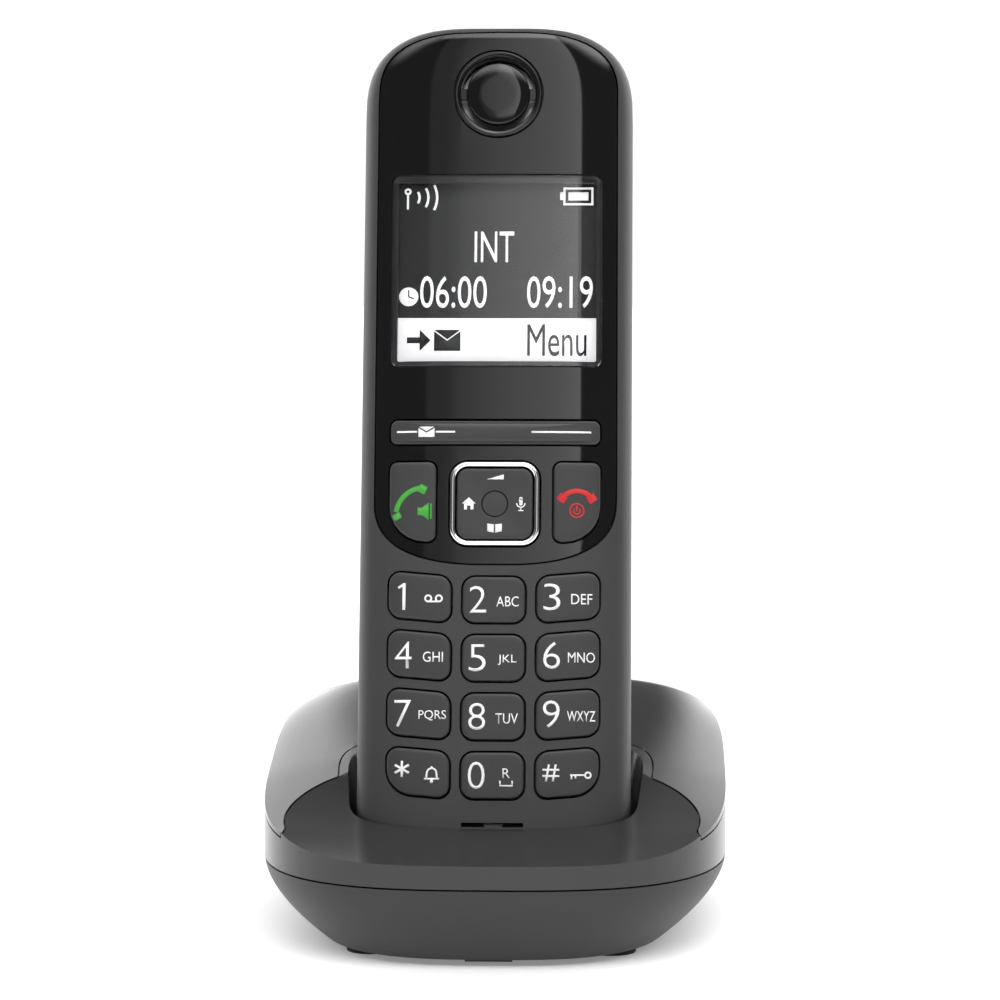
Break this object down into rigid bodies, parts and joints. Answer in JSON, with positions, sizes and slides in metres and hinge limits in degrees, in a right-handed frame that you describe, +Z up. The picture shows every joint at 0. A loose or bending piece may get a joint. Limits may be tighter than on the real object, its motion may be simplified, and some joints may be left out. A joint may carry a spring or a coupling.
{
  "type": "cordless phone with base",
  "caption": "Cordless telephone handset with keypad and display, standing in a wedge-shaped charging base.",
  "frame": {"origin": "on the ground under the middle of the base", "axes": "+Z up, -Y towards the user, +X to the right seen from the front"},
  "size_m": [0.0834, 0.098, 0.1625],
  "materials": {
    "matte_shell": "fine-grained satin moulded plastic",
    "gloss_panel": "polished",
    "gloss_cover": "polished",
    "display_lens": "clear, polished",
    "display": "dark display with white characters",
    "key_plastic": "satin, printed legends",
    "chrome_trim": "bright plated",
    "circuit_board": "solder resist",
    "steel": "plain",
    "contact_gold": "plated",
    "silicone": "matte",
    "foot_rubber": "matte",
    "cell_jacket": "plain sleeve",
    "socket_plastic": "satin"
  },
  "bodies": {
    "base": {"base_upper_shell": "matte_shell", "base_gloss_cover": "gloss_cover", "base_lower_shell": "matte_shell", "power_socket": "socket_plastic", "line_socket": "socket_plastic", "foot_front_left": "foot_rubber", "foot_front_right": "foot_rubber", "foot_back_left": "foot_rubber", "foot_back_right": "foot_rubber", "base_screw_left": "steel", "base_screw_right": "steel", "base_circuit_board": "circuit_board", "base_radio_shield": "steel"},
    "handset": {"handset_front_shell": "matte_shell", "handset_rear_shell": "matte_shell", "front_gloss_panel": "gloss_panel", "display_window": "display_lens", "earpiece_cap": "gloss_panel", "handset_circuit_board": "circuit_board", "keypad_mat": "silicone", "display_module": "display", "microphone": "steel", "earpiece_speaker": "steel", "handset_radio_shield": "steel", "ringer_speaker": "steel", "battery_cell_left": "cell_jacket", "battery_cell_right": "cell_jacket", "battery_contact_left": "steel", "battery_contact_right": "steel", "battery_link_plate": "steel", "charge_pad_left": "contact_gold", "charge_pad_right": "contact_gold", "handset_screw_left": "steel", "handset_screw_right": "steel"},
    "key_1": {"key_1": "key_plastic"},
    "key_2": {"key_2": "key_plastic"},
    "key_3": {"key_3": "key_plastic"},
    "key_4": {"key_4": "key_plastic"},
    "key_5": {"key_5": "key_plastic"},
    "key_6": {"key_6": "key_plastic"},
    "key_7": {"key_7": "key_plastic"},
    "key_8": {"key_8": "key_plastic"},
    "key_9": {"key_9": "key_plastic"},
    "key_star": {"key_star": "key_plastic"},
    "key_0": {"key_0": "key_plastic"},
    "key_hash": {"key_hash": "key_plastic"},
    "call_key": {"call_key": "key_plastic"},
    "end_key": {"end_key": "key_plastic"},
    "softkey_bar": {"softkey_bar": "key_plastic"},
    "nav_rim": {"nav_rim": "chrome_trim"},
    "nav_pad": {"nav_pad": "key_plastic"},
    "nav_centre": {"nav_centre": "key_plastic"},
    "battery_cover": {"battery_cover": "matte_shell"},
    "paging_key": {"paging_key": "key_plastic"},
    "charge_contact_left": {"charge_contact_left": "contact_gold"},
    "charge_contact_right": {"charge_contact_right": "contact_gold"}
  },
  "joints": [
    {"name": "handset_lift", "type": "slide", "parent": "base", "child": "handset", "axis": [0, 0.2419, 0.9703], "range_m": [0, 0.06]},
    {"name": "key_1_press", "type": "slide", "parent": "handset", "child": "key_1", "axis": [0, 0.9703, -0.2419], "range_m": [0, 0.0006], "stiffness_N_per_m": 2000},
    {"name": "key_2_press", "type": "slide", "parent": "handset", "child": "key_2", "axis": [0, 0.9703, -0.2419], "range_m": [0, 0.0006], "stiffness_N_per_m": 2000},
    {"name": "key_3_press", "type": "slide", "parent": "handset", "child": "key_3", "axis": [0, 0.9703, -0.2419], "range_m": [0, 0.0006], "stiffness_N_per_m": 2000},
    {"name": "key_4_press", "type": "slide", "parent": "handset", "child": "key_4", "axis": [0, 0.9703, -0.2419], "range_m": [0, 0.0006], "stiffness_N_per_m": 2000},
    {"name": "key_5_press", "type": "slide", "parent": "handset", "child": "key_5", "axis": [0, 0.9703, -0.2419], "range_m": [0, 0.0006], "stiffness_N_per_m": 2000},
    {"name": "key_6_press", "type": "slide", "parent": "handset", "child": "key_6", "axis": [0, 0.9703, -0.2419], "range_m": [0, 0.0006], "stiffness_N_per_m": 2000},
    {"name": "key_7_press", "type": "slide", "parent": "handset", "child": "key_7", "axis": [0, 0.9703, -0.2419], "range_m": [0, 0.0006], "stiffness_N_per_m": 2000},
    {"name": "key_8_press", "type": "slide", "parent": "handset", "child": "key_8", "axis": [0, 0.9703, -0.2419], "range_m": [0, 0.0006], "stiffness_N_per_m": 2000},
    {"name": "key_9_press", "type": "slide", "parent": "handset", "child": "key_9", "axis": [0, 0.9703, -0.2419], "range_m": [0, 0.0006], "stiffness_N_per_m": 2000},
    {"name": "key_star_press", "type": "slide", "parent": "handset", "child": "key_star", "axis": [0, 0.9703, -0.2419], "range_m": [0, 0.0006], "stiffness_N_per_m": 2000},
    {"name": "key_0_press", "type": "slide", "parent": "handset", "child": "key_0", "axis": [0, 0.9703, -0.2419], "range_m": [0, 0.0006], "stiffness_N_per_m": 2000},
    {"name": "key_hash_press", "type": "slide", "parent": "handset", "child": "key_hash", "axis": [0, 0.9703, -0.2419], "range_m": [0, 0.0006], "stiffness_N_per_m": 2000},
    {"name": "call_key_press", "type": "slide", "parent": "handset", "child": "call_key", "axis": [0, 0.9703, -0.2419], "range_m": [0, 0.0006], "stiffness_N_per_m": 2000},
    {"name": "end_key_press", "type": "slide", "parent": "handset", "child": "end_key", "axis": [0, 0.9703, -0.2419], "range_m": [0, 0.0006], "stiffness_N_per_m": 2000},
    {"name": "softkey_rock", "type": "hinge", "parent": "handset", "child": "softkey_bar", "pos_m": [0, -0.00563, 0.08928], "axis": [0, 0.2419, 0.9703], "range_deg": [-1.6, 1.6], "stiffness_Nm_per_rad": 0.5},
    {"name": "nav_tilt_up_down", "type": "hinge", "parent": "handset", "child": "nav_rim", "pos_m": [0, -0.00895, 0.07676], "axis": [1, 0, 0], "range_deg": [-2.5, 2.5], "stiffness_Nm_per_rad": 0.5},
    {"name": "nav_tilt_left_right", "type": "hinge", "parent": "nav_rim", "child": "nav_pad", "pos_m": [0, -0.00895, 0.07676], "axis": [0, 0.2419, 0.9703], "range_deg": [-2.5, 2.5], "stiffness_Nm_per_rad": 0.4},
    {"name": "nav_centre_press", "type": "slide", "parent": "nav_pad", "child": "nav_centre", "axis": [0, 0.9703, -0.2419], "range_m": [0, 0.0005], "stiffness_N_per_m": 2000},
    {"name": "battery_cover_off", "type": "slide", "parent": "handset", "child": "battery_cover", "axis": [0, 0.9703, -0.2419], "range_m": [0, 0.015]},
    {"name": "paging_key_press", "type": "slide", "parent": "base", "child": "paging_key", "axis": [0, -1, 0], "range_m": [0, 0.0008], "stiffness_N_per_m": 2000},
    {"name": "charge_contact_left_travel", "type": "slide", "parent": "base", "child": "charge_contact_left", "axis": [0, -0.2419, -0.9703], "range_m": [0, 0.0006], "stiffness_N_per_m": 800},
    {"name": "charge_contact_right_travel", "type": "slide", "parent": "base", "child": "charge_contact_right", "axis": [0, -0.2419, -0.9703], "range_m": [0, 0.0006], "stiffness_N_per_m": 800}
  ]
}
